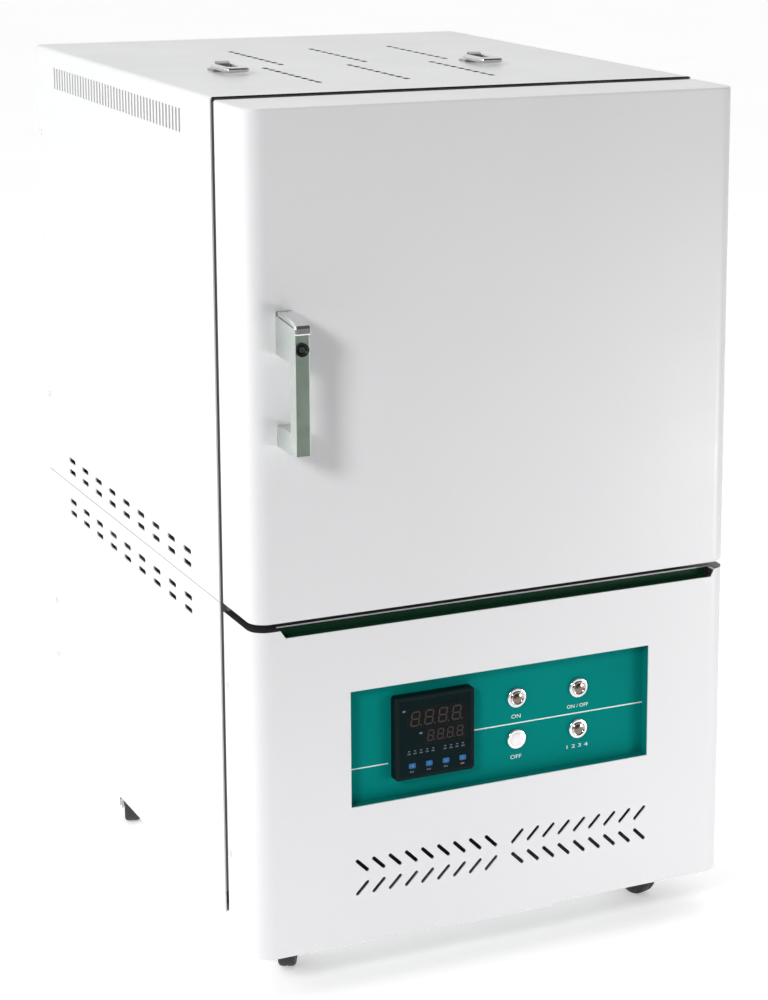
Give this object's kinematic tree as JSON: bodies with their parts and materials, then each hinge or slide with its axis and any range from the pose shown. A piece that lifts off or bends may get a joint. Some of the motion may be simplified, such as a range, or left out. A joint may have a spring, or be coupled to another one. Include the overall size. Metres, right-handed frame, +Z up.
{
  "type": "muffle furnace",
  "caption": "Floor-standing laboratory muffle furnace on castors, with a side-hinged insulated door, an electric chamber and a front controller.",
  "frame": {"origin": "centre of the bounding box's footprint, on the floor under the castors, door closed", "axes": "+X towards the hinge side, seen on the right from the front; +Y from the door towards the back; +Z up"},
  "size_m": [0.5982, 0.833, 0.9941],
  "materials": {
    "frame_zinc": "semi-gloss light grey enamel",
    "shell_lower": "light grey smooth powder coat",
    "shell_upper": "light grey smooth powder coat",
    "rear_sheet": "light grey smooth powder coat",
    "frame_front": "light grey smooth powder coat",
    "strike": "zinc plated",
    "deck": "galvanised sheet",
    "inner_case": "galvanised sheet",
    "fibre": "matt ceramic fibre",
    "fibre_back": "matt ceramic fibre",
    "hearth": "matt fired clay",
    "element_wire": "oxidised resistance alloy",
    "bush_ceramic": "matt fired ceramic",
    "terminal_metal": "plain steel",
    "sheath_ceramic": "matt alumina",
    "sink_alu": "extruded, plain",
    "relay_body": "moulded, matt",
    "block_body": "moulded, matt",
    "gland_black": "moulded, matt",
    "panel_lower": "light grey smooth powder coat",
    "strip_green": "dark green, satin",
    "plate_teal": "teal printed sheet, satin",
    "ctl_case": "moulded, matt",
    "ctl_face": "smoked black, gloss",
    "button_bezel": "bright bezels on black bodies",
    "hinge_fixed": "zinc plated",
    "screw_zinc": "zinc plated",
    "ring_base": "zinc plated",
    "castor_plate": "zinc plated",
    "door_paint": "light grey smooth powder coat",
    "door_fibre": "matt ceramic fibre",
    "door_inner": "stainless, brushed",
    "plug_fibre": "matt ceramic fibre",
    "gasket_rope": "woven glass rope",
    "guide_steel": "zinc plated",
    "handle_grey": "grey green enamel on a cast grip",
    "lock_black": "black ring",
    "hinge_moving": "zinc plated",
    "door_screw": "zinc plated",
    "bolt_steel": "bright steel",
    "lever_chrome": "bright chrome",
    "core_grey": "satin grey",
    "key_1": "blue, gloss",
    "key_2": "blue, gloss",
    "key_3": "blue, gloss",
    "key_4": "blue, gloss",
    "cap_1": "domed cap, gloss",
    "cap_2": "domed cap, gloss",
    "cap_3": "domed cap, gloss",
    "cap_4": "domed cap, gloss",
    "ring_left": "bright plated",
    "ring_right": "bright plated",
    "fork_fl": "zinc plated",
    "wheel_fl": "black, matt tread",
    "fork_fr": "zinc plated",
    "wheel_fr": "black, matt tread",
    "fork_rl": "zinc plated",
    "wheel_rl": "black, matt tread",
    "fork_rr": "zinc plated",
    "wheel_rr": "black, matt tread"
  },
  "bodies": {
    "casing": {"base_frame": "frame_zinc", "lower_shell": "shell_lower", "upper_shell": "shell_upper", "rear_panel": "rear_sheet", "front_frame": "frame_front", "strike_plate": "strike", "deck_plate": "deck", "inner_casing": "inner_case", "fibre_boards": "fibre", "fibre_back_block": "fibre_back", "hearth_plate": "hearth", "heating_elements": "element_wire", "element_bushes": "bush_ceramic", "element_terminals": "terminal_metal", "thermocouple": "sheath_ceramic", "heat_sink": "sink_alu", "ssr_module": "relay_body", "terminal_block": "block_body", "cable_gland": "gland_black", "lower_front_panel": "panel_lower", "channel_strip": "strip_green", "control_plate": "plate_teal", "controller_case": "ctl_case", "controller_face": "ctl_face", "button_bodies": "button_bezel", "hinge_leaves_casing": "hinge_fixed", "casing_screws": "screw_zinc", "lifting_ring_bases": "ring_base", "castor_plates": "castor_plate"},
    "key_1": {"controller_key_1": "key_1"},
    "button_1": {"button_cap_1": "cap_1"},
    "key_2": {"controller_key_2": "key_2"},
    "button_2": {"button_cap_2": "cap_2"},
    "key_3": {"controller_key_3": "key_3"},
    "button_3": {"button_cap_3": "cap_3"},
    "key_4": {"controller_key_4": "key_4"},
    "button_4": {"button_cap_4": "cap_4"},
    "door": {"door_skin": "door_paint", "door_insulation": "door_fibre", "door_inner_plate": "door_inner", "door_plug": "plug_fibre", "door_gasket": "gasket_rope", "latch_guide": "guide_steel", "handle_body": "handle_grey", "lock_body": "lock_black", "hinge_leaves_door": "hinge_moving", "door_screws": "door_screw"},
    "latch": {"latch_bolt": "bolt_steel"},
    "lever": {"handle_lever": "lever_chrome"},
    "lock": {"lock_core": "core_grey"},
    "ring_left": {"lifting_ring_left": "ring_left"},
    "ring_right": {"lifting_ring_right": "ring_right"},
    "fork_fl": {"castor_fork_fl": "fork_fl"},
    "wheel_fl": {"castor_wheel_fl": "wheel_fl"},
    "fork_fr": {"castor_fork_fr": "fork_fr"},
    "wheel_fr": {"castor_wheel_fr": "wheel_fr"},
    "fork_rl": {"castor_fork_rl": "fork_rl"},
    "wheel_rl": {"castor_wheel_rl": "wheel_rl"},
    "fork_rr": {"castor_fork_rr": "fork_rr"},
    "wheel_rr": {"castor_wheel_rr": "wheel_rr"}
  },
  "joints": [
    {"name": "key_1_press", "type": "slide", "parent": "casing", "child": "key_1", "axis": [0, 1, 0], "range_m": [0, 0.0005], "stiffness_N_per_m": 1500, "springref_m": -0.0002},
    {"name": "key_2_press", "type": "slide", "parent": "casing", "child": "key_2", "axis": [0, 1, 0], "range_m": [0, 0.0005], "stiffness_N_per_m": 1500, "springref_m": -0.0002},
    {"name": "key_3_press", "type": "slide", "parent": "casing", "child": "key_3", "axis": [0, 1, 0], "range_m": [0, 0.0005], "stiffness_N_per_m": 1500, "springref_m": -0.0002},
    {"name": "key_4_press", "type": "slide", "parent": "casing", "child": "key_4", "axis": [0, 1, 0], "range_m": [0, 0.0005], "stiffness_N_per_m": 1500, "springref_m": -0.0002},
    {"name": "button_1_press", "type": "slide", "parent": "casing", "child": "button_1", "axis": [0, 1, 0], "range_m": [0, 0.0025], "stiffness_N_per_m": 400, "springref_m": -0.0004},
    {"name": "button_2_press", "type": "slide", "parent": "casing", "child": "button_2", "axis": [0, 1, 0], "range_m": [0, 0.0025], "stiffness_N_per_m": 400, "springref_m": -0.0004},
    {"name": "button_3_press", "type": "slide", "parent": "casing", "child": "button_3", "axis": [0, 1, 0], "range_m": [0, 0.0025], "stiffness_N_per_m": 400, "springref_m": -0.0004},
    {"name": "button_4_press", "type": "slide", "parent": "casing", "child": "button_4", "axis": [0, 1, 0], "range_m": [0, 0.0025], "stiffness_N_per_m": 400, "springref_m": -0.0004},
    {"name": "door_swing", "type": "hinge", "parent": "casing", "child": "door", "pos_m": [0.29265, -0.2625, 0.692], "axis": [0, 0, 1], "range_deg": [0, 120]},
    {"name": "lever_lift", "type": "hinge", "parent": "door", "child": "lever", "pos_m": [-0.25835, -0.369, 0.7679], "axis": [-1, 0, 0], "range_deg": [0, 15], "stiffness_Nm_per_rad": 0.6, "springref_deg": -11.46},
    {"name": "latch_slide", "type": "slide", "parent": "door", "child": "latch", "axis": [0, 0, -1], "range_m": [0, 0.005]},
    {"name": "lock_turn", "type": "hinge", "parent": "door", "child": "lock", "pos_m": [-0.25835, -0.3655, 0.738], "axis": [0, 1, 0], "range_deg": [0, 90]},
    {"name": "lifting_ring_left_turn", "type": "hinge", "parent": "casing", "child": "ring_left", "pos_m": [-0.19435, -0.0085, 0.9885], "axis": [-1, 0, 0], "range_deg": [0, 110]},
    {"name": "lifting_ring_right_turn", "type": "hinge", "parent": "casing", "child": "ring_right", "pos_m": [0.12365, -0.0085, 0.9885], "axis": [-1, 0, 0], "range_deg": [0, 110]},
    {"name": "castor_fl_swivel", "type": "hinge", "parent": "casing", "child": "fork_fl", "pos_m": [-0.24035, -0.2925, 0.052], "axis": [0, 0, 1], "continuous": true},
    {"name": "castor_fr_swivel", "type": "hinge", "parent": "casing", "child": "fork_fr", "pos_m": [0.22565, -0.2925, 0.052], "axis": [0, 0, 1], "continuous": true},
    {"name": "castor_rl_swivel", "type": "hinge", "parent": "casing", "child": "fork_rl", "pos_m": [-0.24735, 0.2395, 0.052], "axis": [0, 0, 1], "continuous": true},
    {"name": "castor_rr_swivel", "type": "hinge", "parent": "casing", "child": "fork_rr", "pos_m": [0.23265, 0.2395, 0.052], "axis": [0, 0, 1], "continuous": true},
    {"name": "castor_fl_roll", "type": "hinge", "parent": "fork_fl", "child": "wheel_fl", "pos_m": [-0.23, -0.27196, 0.025], "axis": [-0.893, 0.45, 0], "continuous": true},
    {"name": "castor_fr_roll", "type": "hinge", "parent": "fork_fr", "child": "wheel_fr", "pos_m": [0.21875, -0.27056, 0.025], "axis": [-0.9539, -0.3, 0], "continuous": true},
    {"name": "castor_rl_roll", "type": "hinge", "parent": "fork_rl", "child": "wheel_rl", "pos_m": [-0.25425, 0.21756, 0.025], "axis": [0.9539, -0.3, 0], "continuous": true},
    {"name": "castor_rr_roll", "type": "hinge", "parent": "fork_rr", "child": "wheel_rr", "pos_m": [0.24047, 0.21787, 0.025], "axis": [0.9404, 0.34, 0], "continuous": true}
  ],
  "couplings": [
    {"joint": "latch_slide", "follows": "lever_lift", "m_per_rad": 0.019079}
  ]
}
